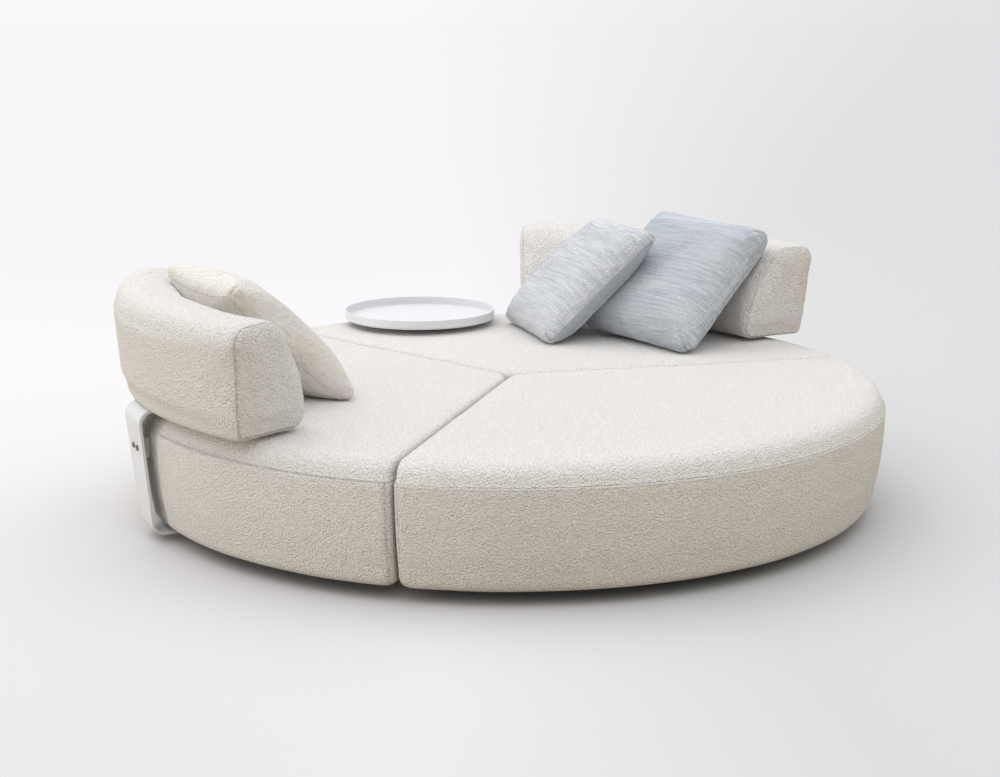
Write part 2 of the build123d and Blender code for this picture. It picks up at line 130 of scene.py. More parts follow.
def addNode(nodes, kind, **settings):
    node = nodes.new(kind)
    for key, value in settings.items():
        if key in node.inputs:
            node.inputs[key].default_value = value
        else:
            setattr(node, key, value)
    return node


def mathNode(material, operation, first, second=None):
    node = material.node_tree.nodes.new("ShaderNodeMath")
    node.operation = operation
    for socket, value in zip(node.inputs, (first, second)):
        if value is None:
            continue
        if isinstance(value, (int, float)):
            socket.default_value = value
        else:
            material.node_tree.links.new(value, socket)
    return node.outputs[0]


def rampNode(material, factor, stops):
    node = material.node_tree.nodes.new("ShaderNodeValToRGB")
    while len(node.color_ramp.elements) < len(stops):
        node.color_ramp.elements.new(0.5)
    for element, (place, colour) in zip(node.color_ramp.elements, stops):
        element.position = place
        element.color = (*colour, 1)
    material.node_tree.links.new(factor, node.inputs["Fac"])
    return node.outputs["Color"]


def bumpNode(material, shader, height, distance, strength=1.0):
    node = material.node_tree.nodes.new("ShaderNodeBump")
    node.inputs["Strength"].default_value = strength
    node.inputs["Distance"].default_value = distance
    material.node_tree.links.new(height, node.inputs["Height"])
    material.node_tree.links.new(node.outputs["Normal"], shader.inputs["Normal"])


def srgb(red, green, blue):
    return tuple(((c / 255 + 0.055) / 1.055) ** 2.4 for c in (red, green, blue))


# looped cream fabric of the modules and backrests
looped = {
    "loop": 0.0052,
    "loopShare": 0.8,
    "clump": 0.0105,
    "clumpShare": 0.2,
    "wobble": 110.0,
    # painted shade: dark is the colour in the gaps between the loops, light is the colour on the loop
    # tops
    "dark": (230, 225, 219),
    "light": (251, 249, 248),
    "darkAt": 0.2,
    "lightAt": 0.75,
    "lift": 0.0070,
}
fabricGloss = 0.12


# a place that wanders a little, so that no pattern runs dead straight
def wandering(material, place, scale, reach):
    nodes = material.node_tree.nodes
    links = material.node_tree.links
    wobble = addNode(nodes, "ShaderNodeTexNoise", Scale=scale, Detail=2.0)
    links.new(place, wobble.inputs["Vector"])
    shift = addNode(nodes, "ShaderNodeVectorMath", operation="SCALE")
    shift.inputs["Scale"].default_value = reach
    links.new(wobble.outputs["Color"], shift.inputs[0])
    moved = addNode(nodes, "ShaderNodeVectorMath", operation="ADD")
    links.new(place, moved.inputs[0])
    links.new(shift.outputs["Vector"], moved.inputs[1])
    return moved.outputs["Vector"]


def softFinish(shader, sheen, sheenRoughness):
    shader.inputs["Sheen Weight"].default_value = sheen
    shader.inputs["Sheen Roughness"].default_value = sheenRoughness
    shader.inputs["Specular IOR Level"].default_value = fabricGloss


def loopedFabric():
    material, nodes, links, shader = newMaterial("loopedFabric", 0.95)
    place = addNode(nodes, "ShaderNodeTexCoord").outputs["Object"]
    moved = wandering(material, place, looped["wobble"], looped["loop"])
    loops = addNode(nodes, "ShaderNodeTexVoronoi", Scale=1 / looped["loop"])
    clumps = addNode(nodes, "ShaderNodeTexVoronoi", Scale=1 / looped["clump"])
    for texture in (loops, clumps):
        links.new(moved, texture.inputs["Vector"])
    fine = mathNode(material, "MULTIPLY", loops.outputs["Distance"], looped["loopShare"])
    coarse = mathNode(material, "MULTIPLY", clumps.outputs["Distance"], looped["clumpShare"])
    height = mathNode(material, "SUBTRACT", 1.0, mathNode(material, "ADD", fine, coarse))
    # painted shade: the colour darkens from the loop tops into the gaps between them
    stops = [(looped["darkAt"], srgb(*looped["dark"])), (looped["lightAt"], srgb(*looped["light"]))]
    links.new(rampNode(material, height, stops), shader.inputs["Base Color"])
    softFinish(shader, 0.12, 0.6)
    bumpNode(material, shader, height, looped["lift"])
    return material


# knitted fabrics follow each cushion's own plane
knit = {"tilt": 0.7, "slant": 1.5}


def cushionCoordinates(material, centre, spin):
    nodes = material.node_tree.nodes
    place = addNode(nodes, "ShaderNodeTexCoord").outputs["Object"]
    mapping = addNode(nodes, "ShaderNodeMapping", vector_type="TEXTURE")
    mapping.inputs["Location"].default_value = centre
    mapping.inputs["Rotation"].default_value = spin.to_euler()
    material.node_tree.links.new(place, mapping.inputs["Vector"])
    return mapping.outputs["Vector"]


def stretchedNoise(material, place, scale, detail=3.0):
    nodes = material.node_tree.nodes
    mapping = addNode(nodes, "ShaderNodeMapping")
    mapping.inputs["Scale"].default_value = scale
    material.node_tree.links.new(place, mapping.inputs["Vector"])
    texture = addNode(nodes, "ShaderNodeTexNoise", Scale=1.0, Detail=detail, Roughness=0.55)
    material.node_tree.links.new(mapping.outputs["Vector"], texture.inputs["Vector"])
    return texture.outputs["Fac"]


def mixedTone(material, tones):
    total = 0.5
    for tone, share in tones:
        change = mathNode(material, "MULTIPLY", mathNode(material, "SUBTRACT", tone, 0.5), share)
        total = mathNode(material, "ADD", change, total)
    return total


def cushionFabric(name, centre, spin, look):
    material, nodes, links, shader = newMaterial(name, 0.9)
    place = cushionCoordinates(material, centre, spin)
    moved = wandering(material, place, 14.0, look["wander"])
    split = addNode(nodes, "ShaderNodeSeparateXYZ")
    links.new(moved, split.inputs[0])
    tone = mixedTone(material, [
        (stretchedNoise(material, moved, look["streaks"]), look["streakShare"]),
        (stretchedNoise(material, place, look["bands"]), look["bandShare"]),
        (stretchedNoise(material, place, look["flecks"], 2.0), look["fleckShare"]),
    ])
    stops = [(0.34, look["dark"]), (0.5, look["middle"]), (0.66, look["light"])]
    colour = rampNode(material, tone, [(at, srgb(*tint)) for at, tint in stops])
    # ribs run from side to side, and each has small slanted stitches
    inward = mathNode(material, "MULTIPLY", split.outputs["Z"], knit["tilt"])
    down = mathNode(material, "ADD", split.outputs["Y"], inward)
    along = mathNode(material, "MULTIPLY", down, 2 * pi / look["rib"])
    across = mathNode(material, "MULTIPLY", split.outputs["X"], 2 * pi / look["course"])
    slant = mathNode(material, "MULTIPLY", mathNode(material, "SINE", along), knit["slant"])
    stitch = mathNode(material, "SINE", mathNode(material, "ADD", across, slant))
    halfWay = mathNode(material, "MULTIPLY", along, 0.5)
    rib = mathNode(material, "ABSOLUTE", mathNode(material, "SINE", halfWay))
    height = mathNode(material, "ADD", rib, mathNode(material, "MULTIPLY", stitch, look["stitch"]))
    # painted shade: the colour is darkened in the rib valleys, as shade that falls there
    lit = mathNode(material, "MULTIPLY", height, 0.8)
    shade = rampNode(material, lit, [(0.0, (look["valleyShade"],) * 3), (0.7, (1, 1, 1))])
    mixed = addNode(nodes, "ShaderNodeMix", data_type="RGBA", blend_type="MULTIPLY")
    mixed.inputs["Factor"].default_value = 1.0
    links.new(colour, mixed.inputs["A"])
    links.new(shade, mixed.inputs["B"])
    links.new(mixed.outputs["Result"], shader.inputs["Base Color"])
    softFinish(shader, 0.15, 0.5)
    bumpNode(material, shader, height, look["lift"])
    return material


def plainWeave(name, colour, shadeColour, pitch):
    material, nodes, links, shader = newMaterial(name, 0.9)
    place = addNode(nodes, "ShaderNodeTexCoord").outputs["Object"]
    cells = addNode(nodes, "ShaderNodeTexVoronoi", Scale=1 / pitch)
    grain = addNode(nodes, "ShaderNodeTexNoise", Scale=60.0, Detail=4.0)
    for texture in (cells, grain):
        links.new(place, texture.inputs["Vector"])
    weave = mathNode(material, "MULTIPLY", cells.outputs["Distance"], 0.6)
    patches = mathNode(material, "MULTIPLY", grain.outputs["Fac"], 0.5)
    tone = mathNode(material, "ADD", weave, patches)
    tint = rampNode(material, tone, [(0.25, colour), (0.8, shadeColour)])
    links.new(tint, shader.inputs["Base Color"])
    bumpNode(material, shader, cells.outputs["Distance"], -pitch * 0.3)
    return material


# painted, metal, wood, foam and plastic finishes
def speckled(name, colour, roughness, scale, spread=0.04, lift=0.0001, metallic=0.0):
    material, nodes, links, shader = newMaterial(name, roughness)
    place = addNode(nodes, "ShaderNodeTexCoord").outputs["Object"]
    grain = addNode(nodes, "ShaderNodeTexNoise", Scale=scale, Detail=4.0)
    links.new(place, grain.inputs["Vector"])
    base = srgb(*colour)
    low = tuple(c * (1 - spread) for c in base)
    high = tuple(min(c * (1 + spread), 1) for c in base)
    tint = rampNode(material, grain.outputs["Fac"], [(0.3, low), (0.7, high)])
    links.new(tint, shader.inputs["Base Color"])
    change = mathNode(material, "MULTIPLY", grain.outputs["Fac"], 0.12)
    links.new(mathNode(material, "ADD", change, roughness - 0.06), shader.inputs["Roughness"])
    shader.inputs["Metallic"].default_value = metallic
    bumpNode(material, shader, grain.outputs["Fac"], lift)
    return material


def plywood():
    material, nodes, links, shader = newMaterial("plywood", 0.6)
    place = addNode(nodes, "ShaderNodeTexCoord").outputs["Object"]
    grain = stretchedNoise(material, place, (3, 60, 60), 6.0)
    tint = rampNode(material, grain, [(0.3, srgb(150, 118, 82)), (0.7, srgb(196, 164, 122))])
    links.new(tint, shader.inputs["Base Color"])
    bumpNode(material, shader, grain, 0.0003)
    return material


cream = loopedFabric()
whitePaint = speckled("whitePaint", (225, 227, 230), 0.4, 900.0, 0.01, 0.00004)
trayPaint = speckled("trayPaint", (224, 225, 227), 0.35, 900.0, 0.01, 0.00003)
finishes = {
    "bracket_paint": whitePaint,
    "tray_paint": trayPaint,
    "frame_tube": speckled("frameTube", (190, 190, 192), 0.5, 300.0),
    "screw_steel": speckled("screwSteel", (170, 170, 172), 0.35, 500.0, metallic=1.0),
    "bracket_screw_steel": speckled("darkSteel", (118, 114, 110), 0.45, 700.0, metallic=0.8),
    "deck_board": plywood(),
    "foam": plainWeave("foam", srgb(236, 230, 208), srgb(206, 198, 170), 0.0015),
    "cushion_fill": plainWeave("fibre", srgb(240, 240, 238), srgb(216, 216, 212), 0.003),
    "dust_sheet": plainWeave("dustSheet", srgb(46, 46, 46), srgb(24, 24, 24), 0.0012),
    "foot_plastic": speckled("footPlastic", (34, 34, 34), 0.6, 400.0),
    "pad_rubber": speckled("padRubber", (206, 205, 202), 0.8, 300.0),
    "zip_plastic": speckled("zipPlastic", (112, 108, 100), 0.5, 400.0),
    "cream_fabric": cream,
    "beige_fabric": cream,
    "blue_fabric": cream,
    "light_blue_fabric": cream,
}
slotOf = {row["node"]: row["material_slot"] for row in frame["record"]["subparts"]}
for nodeName, node in frame["nodes"].items():
    node.data.materials.clear()
    node.data.materials.append(finishes[slotOf[nodeName]])
print("materials made")


# the outside of a cover: its inner skin is left out and its openings are closed
def outerSkin(nodeName, pieceName, isWall):
    form = bmesh.new()
    form.from_mesh(frame["nodes"][nodeName].data)
    bmesh.ops.remove_doubles(form, verts=form.verts, dist=0.00002)
    bmesh.ops.delete(form, geom=[face for face in form.faces if isWall(face)], context="FACES")
    groups = []
    seen = set()
    for start in form.faces:
        if start in seen:
            continue
        group = [start]
        seen.add(start)
        for face in group:
            for edge in face.edges:
                for other in edge.link_faces:
                    if other not in seen:
                        seen.add(other)
                        group.append(other)
        groups.append(group)
    groups.sort(key=lambda group: sum(face.calc_area() for face in group))
    inner = [face for group in groups[:-1] for face in group]
    bmesh.ops.delete(form, geom=inner, context="FACES")
    bmesh.ops.holes_fill(form, edges=[edge for edge in form.edges if edge.is_boundary])
    bmesh.ops.recalc_face_normals(form, faces=form.faces)
    mesh = bpy.data.meshes.new(pieceName)
    form.to_mesh(mesh)
    form.free()
    piece = bpy.data.objects.new(pieceName, mesh)
    scene.collection.objects.link(piece)
    return piece


# an even grid of points, smoothed
def regrid(piece, voxel, rounds):
    applyModifier(piece, "REMESH", mode="VOXEL", voxel_size=voxel, use_smooth_shade=True)
    applyModifier(piece, "SMOOTH", factor=0.5, iterations=rounds)


# cloth under light pressure, with each point's move capped
clothForm = {
    "mass": 0.3,
    "tension_stiffness": 18,
    "compression_stiffness": 18,
    "shear_stiffness": 6,
    "bending_stiffness": 0.6,
    "use_pressure": True,
}
clothFrames = 20


def puff(piece, pressure, cap, slack=0.0, quality=4, share=None):
    start = getPoints(piece)
    cloth = piece.modifiers.new("cloth", "CLOTH")
    settings = cloth.settings
    settings.quality = quality
    for key, value in clothForm.items():
        setattr(settings, key, value)
    settings.shrink_min = -slack
    settings.uniform_pressure_force = pressure
    settings.effector_weights.gravity = 0
    cloth.collision_settings.use_collision = False
    cloth.point_cache.frame_start = 1
    cloth.point_cache.frame_end = clothFrames
    for step in range(1, clothFrames + 1):
        scene.frame_set(step)
    held = piece.evaluated_get(bpy.context.evaluated_depsgraph_get())
    ended = np.empty(len(held.data.vertices) * 3)
    held.data.vertices.foreach_get("co", ended)
    move = ended.reshape(-1, 3) - start
    length = np.maximum(np.linalg.norm(move, axis=1), 1e-9)
    kept = cap * np.tanh(length / cap)
    piece.modifiers.remove(cloth)
    scene.frame_set(1)
    if share is not None:
        kept *= share
    setPoints(piece, start + move * (kept / length)[:, None])


# a seam: cuts along one plane, the middle one drawn in, and the path it follows
seamForm = {
    "near": 0.03,  # only faces this close are cut
    "cuts": (-2, -1, 0, 1, 2),  # in half widths
    "puffed": 0.0004,
    "shoulder": 0.35,
    "exact": 0.00005,
}


def sewSeam(piece, point, direction, width, depth, isPart=None):
    form = bmesh.new()
    form.from_mesh(piece.data)
    point = Vector(point)
    direction = Vector(direction).normalized()
    for step in seamForm["cuts"]:
        place = point + direction * width * step / 2
        near = [
            face for face in form.faces
            if abs((face.verts[0].co - place).dot(direction)) < seamForm["near"]
            and (isPart is None or isPart(face.verts[0].co))
        ]
        edges = {edge for face in near for edge in face.edges}
        verts = {vert for face in near for vert in face.verts}
        bmesh.ops.bisect_plane(
            form, geom=[*verts, *edges, *near], dist=0.00001, plane_co=place, plane_no=direction,
        )
    form.normal_update()
    onSeam = {}
    for vert in form.verts:
        away = abs((vert.co - point).dot(direction))
        if away > width * 1.1 or (isPart is not None and not isPart(vert.co)):
            continue
        if away < seamForm["exact"]:
            onSeam[vert] = vert.normal.copy()
        elif abs(away - width) < seamForm["exact"]:
            vert.co += vert.normal * seamForm["puffed"]
        elif abs(away - width / 2) < seamForm["exact"]:
            vert.co -= vert.normal * depth * seamForm["shoulder"]
    nextTo = {
        vert: [edge.other_vert(vert) for edge in vert.link_edges if edge.other_vert(vert) in onSeam]
        for vert in onSeam
    }
    starts = [vert for vert in onSeam if len(nextTo[vert]) == 1] + list(onSeam)
    paths = []
    used = set()
    for first in starts:
        if first in used:
            continue
        path = [first]
        used.add(first)
        while True:
            fresh = [other for other in nextTo[path[-1]] if other not in used]
            if not fresh:
                break
            path.append(fresh[0])
            used.add(fresh[0])
        paths.append([(vert.co.copy(), onSeam[vert]) for vert in path])
    for vert, normal in onSeam.items():
        vert.co -= normal * depth
    form.to_mesh(piece.data)
    form.free()
    piece.data.update()
    return max(paths, key=len, default=[])


# evenly spaced places on a closed path: point, normal and direction
def spaced(path, gap):
    points = [row[0] for row in path + path[:1]]
    normals = [row[1] for row in path + path[:1]]
    lengths = [0.0]
    for before, after in zip(points, points[1:]):
        lengths.append(lengths[-1] + (after - before).length)
    count = int(lengths[-1] / gap)
    rows = []
    at = 0
    for step in range(count):
        want = lengths[-1] * step / count
        while lengths[at + 1] < want:
            at += 1
        share = (want - lengths[at]) / max(lengths[at + 1] - lengths[at], 1e-9)
        rows.append((
            points[at].lerp(points[at + 1], share),
            normals[at].lerp(normals[at + 1], share).normalized(),
            (points[at + 1] - points[at]).normalized(),
        ))
    return rows


# one thread stitch, pointed at both ends, is modelled once and copied along a path
thread = {
    "length": 0.0052,
    "radius": 0.0006,
    "gap": 0.0085,
    "sink": 0.0002,
    "body": 0.7,  # share of the length between the two pointed ends
    "point": 0.15,
    "taper": 0.45,
}


def takeForm(piece):
    corners = [vert.co.copy() for vert in piece.data.vertices]
    faces = [tuple(face.vertices) for face in piece.data.polygons]
    bpy.data.objects.remove(piece)
    return corners, faces


def threadStitch():
    deselectAll()
    bpy.ops.mesh.primitive_cylinder_add(
        vertices=6, radius=thread["radius"], depth=thread["length"] * thread["body"],
        rotation=(0, pi / 2, 0),
    )
    stitch = bpy.context.object
    bpy.ops.object.transform_apply(location=False, rotation=True, scale=False)
    bpy.ops.object.mode_set(mode="EDIT")
    bpy.ops.mesh.select_all(action="DESELECT")
    bpy.ops.object.mode_set(mode="OBJECT")
    for face in stitch.data.polygons:
        face.select = abs(face.normal.x) > 0.9
    bpy.ops.object.mode_set(mode="EDIT")
    bpy.ops.mesh.inset(
        thickness=thread["radius"] * thread["taper"], depth=thread["length"] * thread["point"],
    )
    bpy.ops.object.mode_set(mode="OBJECT")
    return takeForm(stitch)


def pieceFromRows(name, points, polygons):
    mesh = bpy.data.meshes.new(name)
    mesh.from_pydata(points, [], polygons)
    piece = bpy.data.objects.new(name, mesh)
    scene.collection.objects.link(piece)
    return piece


stitchForm = threadStitch()
threadPaint = speckled("threadCream", (226, 220, 212), 0.8, 2000.0)


def stitchRow(name, path, offset):
    corners, faces = stitchForm
    points = []
    polygons = []
    for point, normal, along in spaced(path, thread["gap"]):
        side = normal.cross(along).normalized()
        spot = point + side * offset - normal * thread["sink"]
        first = len(points)
        points += [spot + along * corner.x + side * corner.y + normal * corner.z for corner in corners]
        polygons += [[first + index for index in face] for face in faces]
    piece = pieceFromRows(name, points, polygons)
    piece.data.materials.append(threadPaint)
    smoothShade(piece)
    return piece


# modules: one cover each, with a seam round the top panel, corner seams and a recessed underside
module = {
    "angles": {"rear": 90, "left": 210, "right": 330},
    "halfTurn": 60,
    "voxel": 0.0075,
    "smooth": 6,
    "reach": 1.165,
    "side": 0.005,
    "lip": 0.050,
    "lipTop": 0.0436,
    "underTop": 0.0425,
    "recess": 0.007,
    "seamHeight": 0.340,
    "seamWidth": 0.003,
    "seamDepth": 0.0030,
    "cornerSeamIn": 0.012,
    "cornerTop": 0.002,
    "cornerReach": 0.03,
    "stitchOffset": 0.0052,
    "breakIn": 0.0072,
    "breakSoft": 0.005,
    "breakFade": 0.045,
    "swell": 0.0012,
    "swellSize": 0.16,
}


# the walls of the opening inside the turned-under edge
def isLipWall(face):
    return abs(face.normal.z) < 0.1 and face.calc_center_median().z < module["lipTop"]


# slow, low waves over the fabric
def softSwell(piece, amount, size):
    points = getPoints(piece)
    normals = getNormals(piece)
    swell = np.array([noise.noise(point) for point in map(Vector, points / size)])
    setPoints(piece, points + normals * (amount * swell)[:, None])


# inside the turned-under edge the closed bottom is lifted, clear of the panel under the frame
def recessUnderside(piece, angle):
    points = getPoints(piece)
    turned = np.radians(angle)
    along = points[:, 0] * np.cos(turned) + points[:, 1] * np.sin(turned)
    across = np.abs(points[:, 1] * np.cos(turned) - points[:, 0] * np.sin(turned))
    reach = np.hypot(along, across)
    halfTurn = radians(module["halfTurn"])
    edge = along * sin(halfTurn) - across * cos(halfTurn)
    inside = (reach < module["reach"] - module["lip"]) & (edge > module["side"] + module["lip"])
    points[inside & (points[:, 2] < module["underTop"]), 2] += module["recess"]
    setPoints(piece, points)


# the top panel turns over the edge more sharply than the wall that it is sewn to
def breakEdge(piece):
    points = getPoints(piece)
    normals = getNormals(piece)
    above = np.maximum(points[:, 2] - module["seamHeight"], 0)
    fade = np.exp(-above / module["breakFade"])
    push = module["breakIn"] * (1 - np.exp(-above / module["breakSoft"])) * fade
    push *= np.sqrt(np.clip(1 - normals[:, 2] ** 2, 0, 1))
    setPoints(piece, points - normals * push[:, None])


# the corner seams stop below the top seam, and run on the curved wall only
def isCornerWall(spot):
    isBelow = spot.z < module["seamHeight"] - module["cornerTop"]
    return isBelow and spot.xy.length > module["reach"] - module["cornerReach"]


for name, angle in module["angles"].items():
    cover = outerSkin(name + "_cover", name + "_upholstery", isLipWall)
    regrid(cover, module["voxel"], module["smooth"])
    softSwell(cover, module["swell"], module["swellSize"])
    recessUnderside(cover, angle)
    level = (0, 0, module["seamHeight"])
    path = sewSeam(cover, level, (0, 0, 1), module["seamWidth"], module["seamDepth"])
    for side in (-1, 1):
        wallTurn = Matrix.Rotation(radians(angle + side * module["halfTurn"]), 3, "Z")
        across = wallTurn @ Vector((0, -side, 0))
        place = across * (module["side"] + module["cornerSeamIn"])
        sewSeam(cover, place, across, module["seamWidth"], module["seamDepth"], isPart=isCornerWall)
    breakEdge(cover)
    cover.data.materials.append(cream)
    smoothShade(cover)
    stitches = stitchRow(name + "_seam_stitches", path, module["stitchOffset"])
    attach(cover, name + "_module")
    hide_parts(name + "_cover", name + "_foam")
    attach(stitches, name + "_module")
print("modules made")


# backrests: a curved block with an end panel sewn on each side
backrest = {
    "left": {"angle": 221.3, "reach": 1.219, "turn": -1.7},
    "rear": {"angle": 74.1, "reach": 1.254, "turn": -2.6},
}
backrestForm = {
    "radius": 1.261,
    "halfTurn": 27.3,
    "low": 0.4103,
    "height": 0.322,
    "endLean": 0.024,
    "boltTop": 0.0045,
    "boltHole": 0.00003,
    "voxel": 0.0060,
    "smooth": 4,
    "softer": 8,
    "pressure": 4.0,
    "cap": 0.005,
    "fuller": 0.009,
    "footGrip": 0.07,  # the lowest part keeps its shape over this height
    "swell": 0.0010,
    "swellSize": 0.09,
    "seamIn": 0.006,
    "seamWidth": 0.003,
    "seamDepth": 0.0028,
    "stitchOffset": 0.006,
    "puckerDeep": 0.0022,
    "puckerGap": 0.0145,
    "puckerReach": 0.030,
    "puckerHigh": 0.255,
    "puckerTall": 0.055,
    "puckerIn": 0.12,
    "puckerSlant": 0.12,
}


# the walls of the bolt holes in the bottom of the cover
def isBoltWall(face):
    isLow = face.calc_center_median().z < backrestForm["low"] + backrestForm["boltTop"]
    return abs(face.normal.z) < 0.1 and isLow and face.calc_area() < backrestForm["boltHole"]


# the end planes stand radially and lean outwards
def endPlane(stand, side):
    radius = backrestForm["radius"]
    around = Matrix.Rotation(radians(stand["angle"]), 4, "Z")
    outward = Matrix.Translation((stand["reach"], 0, 0))
    blockTurn = Matrix.Rotation(radians(stand["turn"]), 4, "Z")
    put = around @ outward @ blockTurn @ Matrix.Translation((-radius, 0, 0))
    angle = side * (radians(backrestForm["halfTurn"]) - backrestForm["seamIn"] / radius)
    lean = side * atan2(backrestForm["endLean"], backrestForm["height"])
    point = Vector((radius * cos(angle), radius * sin(angle), backrestForm["low"]))
    direction = Vector((-sin(angle), cos(angle), 0)) * cos(lean) - Vector((0, 0, 1)) * sin(lean)
    return put @ point, put.to_3x3() @ direction


# small gathers beside an end seam, strongest at the top outer corner
def gather(piece, point, direction):
    points = getPoints(piece)
    normals = getNormals(piece)
    away = np.abs((points - np.array(point)) @ np.array(direction))
    outward = np.array(Vector((point.x, point.y, 0)).normalized())
    depth = np.clip(1 + (points - np.array(point)) @ outward / backrestForm["puckerIn"], 0, 1)
    high = points[:, 2] - backrestForm["low"] - backrestForm["puckerHigh"]
    nearTop = np.exp(-((high / backrestForm["puckerTall"]) ** 2))
    strength = np.exp(-away / backrestForm["puckerReach"]) * nearTop * depth
    slanted = points[:, 2] + backrestForm["puckerSlant"] * away
    wave = 0.5 + 0.5 * np.sin(2 * pi * slanted / backrestForm["puckerGap"])
    setPoints(piece, points - normals * (backrestForm["puckerDeep"] * strength * wave)[:, None])


upholstered = {}
for name, stand in backrest.items():
    block = outerSkin(name + "_backrest_cover", name + "_backrest_upholstery", isBoltWall)
    regrid(block, backrestForm["voxel"], backrestForm["smooth"])
    points = getPoints(block)
    grip = np.clip((points[:, 2] - backrestForm["low"]) / backrestForm["footGrip"], 0, 1)
    setPoints(block, points + getNormals(block) * (backrestForm["fuller"] * grip)[:, None])
    applyModifier(block, "SMOOTH", factor=0.5, iterations=backrestForm["softer"])
    puff(block, backrestForm["pressure"], backrestForm["cap"], quality=3, share=grip)
    softSwell(block, backrestForm["swell"], backrestForm["swellSize"])
    block.data.materials.append(cream)
    for side, word in ((-1, "low"), (1, "high")):
        point, direction = endPlane(stand, side)
        gather(block, point, direction)
        path = sewSeam(block, point, direction, backrestForm["seamWidth"], backrestForm["seamDepth"])
        offset = -side * backrestForm["stitchOffset"]
        stitches = stitchRow(name + "_backrest_stitches_" + word, path, offset)
        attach(stitches, name + "_backrest")
    smoothShade(block)
    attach(block, name + "_backrest")
    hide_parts(name + "_backrest_cover", name + "_backrest_foam")
    upholstered[name] = block
print("backrests made")


# brackets: the bent plates with their cut edges broken
bracketEdge = {"width": 0.0014, "segments": 3, "sharp": 40, "smooth": 32}
brackets = {
    "left_bracket": "left_backrest",
    "rear_bracket": "rear_backrest",
    "tray_bracket": "tray_support",
}

for name, body in brackets.items():
    form = bmesh.new()
    form.from_mesh(frame["nodes"][name].data)
    bmesh.ops.remove_doubles(form, verts=form.verts, dist=0.00002)
    bmesh.ops.dissolve_limit(form, angle_limit=radians(0.5), verts=form.verts, edges=form.edges)
    mesh = bpy.data.meshes.new(name + "_plate")
    form.to_mesh(mesh)
    form.free()
    plate = bpy.data.objects.new(name + "_plate", mesh)
    scene.collection.objects.link(plate)
    applyModifier(
        plate, "BEVEL", width=bracketEdge["width"], segments=bracketEdge["segments"],
        limit_method="ANGLE", angle_limit=radians(bracketEdge["sharp"]),
    )
    applyModifier(plate, "TRIANGULATE")
    plate.data.materials.append(whitePaint)
    smoothShade(plate, bracketEdge["smooth"])
    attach(plate, body)
    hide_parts(name)
print("brackets made")


# cushions: a sewn cover over a loose fill, leaning back
# round and tips stand for the low left, low right, high right and high left corner
blueKnit = {
    "streaks": (7, 110, 30), "streakShare": 0.60, "bands": (2.0, 16, 12), "bandShare": 0.22,
    "flecks": (150, 260, 240), "fleckShare": 0.40, "wander": 0.005,
    "rib": 0.0078, "course": 0.0068, "stitch": 0.5, "lift": 0.0022,
}
cushions = {
    "beige": {
        "turn": 136.0, "lean": 46.5, "half": 0.2525, "leansOn": ["left"],
        "seams": [-0.034], "band": 0.4, "slot": "beige_fabric", "fill": 0.7,
        "start": (1.045, 1.04, 0.92), "skew": 0.0, "pinch": 0.35,
        "round": (0.022, 0.022, 0.022, 0.022), "tips": (0.004, 0.004, 0.006, 0.006),
        "look": {
            "streaks": (60, 12, 20), "streakShare": 0.25, "bands": (3, 5, 5), "bandShare": 0.25,
            "flecks": (190, 190, 190), "fleckShare": 0.5, "wander": 0.003,
            "dark": (214, 207, 195), "middle": (230, 225, 217), "light": (240, 237, 232),
            "rib": 0.0066, "course": 0.0056, "stitch": 0.35, "valleyShade": 0.93, "lift": 0.0011,
        },
    },
    "large_blue": {
        "turn": -33.5, "lean": 48.5, "half": 0.2725, "leansOn": ["rear"],
        "seams": [-0.014], "band": 0.4, "slot": "blue_fabric", "fill": 0.75,
        "start": (1.020, 1.040, 0.94), "skew": 0.07, "pinch": 0.2,
        "round": (0.045, 0.060, 0.034, 0.036), "tips": (0.0, 0.0, 0.0, 0.0),
        "look": {
            "dark": (190, 199, 209), "middle": (216, 222, 230), "light": (237, 241, 246),
            "valleyShade": 0.80, **blueKnit,
        },
    },
    "small_blue": {
        "turn": -58.3, "lean": 47.2, "half": 0.254, "leansOn": ["rear", "large_blue"],
        "seams": [-0.050, -0.008], "band": 0.35, "slot": "light_blue_fabric", "fill": 0.75,
        "start": (0.985, 1.055, 0.94), "skew": 0.0, "pinch": 0.3,
        "round": (0.040, 0.048, 0.018, 0.042), "tips": (0.0, 0.0, 0.002, 0.0),
        "look": {
            "dark": (206, 212, 220), "middle": (231, 234, 239), "light": (248, 249, 251),
            "valleyShade": 0.82, **blueKnit,
        },
    },
}
cushionForm = {
    "voxel": 0.0055,
    "smooth": 4,
    "pressure": 4.0,
    "cap": 0.024,
    "slack": 0.012,
    "foldDeep": 0.0014,
    "foldReach": 0.085,
    "foldStart": 0.03,
    "folds": 7,
    "sink": 0.005,
    "sag": 0.14,
    "bow": 0.006,
    "soft": 0.008,
    "clear": 0.0006,
    "search": 0.06,
    "sideFrom": 0.8,  # the side bands and the zip lie beyond this share of the half width
    "seamWidth": 0.0026,
    "seamDepth": 0.0018,
    "grooveHalf": 0.155,
    "grooveWide": 0.0022,
    "grooveDeep": 0.0026,
    "grooveEnd": 0.006,
    "grooveSoft": 0.004,
}
bandLook = {
    "streaks": (30, 30, 30), "streakShare": 0.3, "bands": (4, 4, 4), "bandShare": 0.3,
    "flecks": (260, 260, 260), "fleckShare": 0.4, "wander": 0.002,
    "dark": (172, 178, 185), "middle": (184, 190, 197), "light": (195, 201, 207),
    "rib": 0.0046, "course": 0.0040, "stitch": 0.15, "valleyShade": 0.9, "lift": 0.0008,
    "mitre": 0.98,
}
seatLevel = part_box("rear_cover")[1][2]


def noWall(face):
    return False


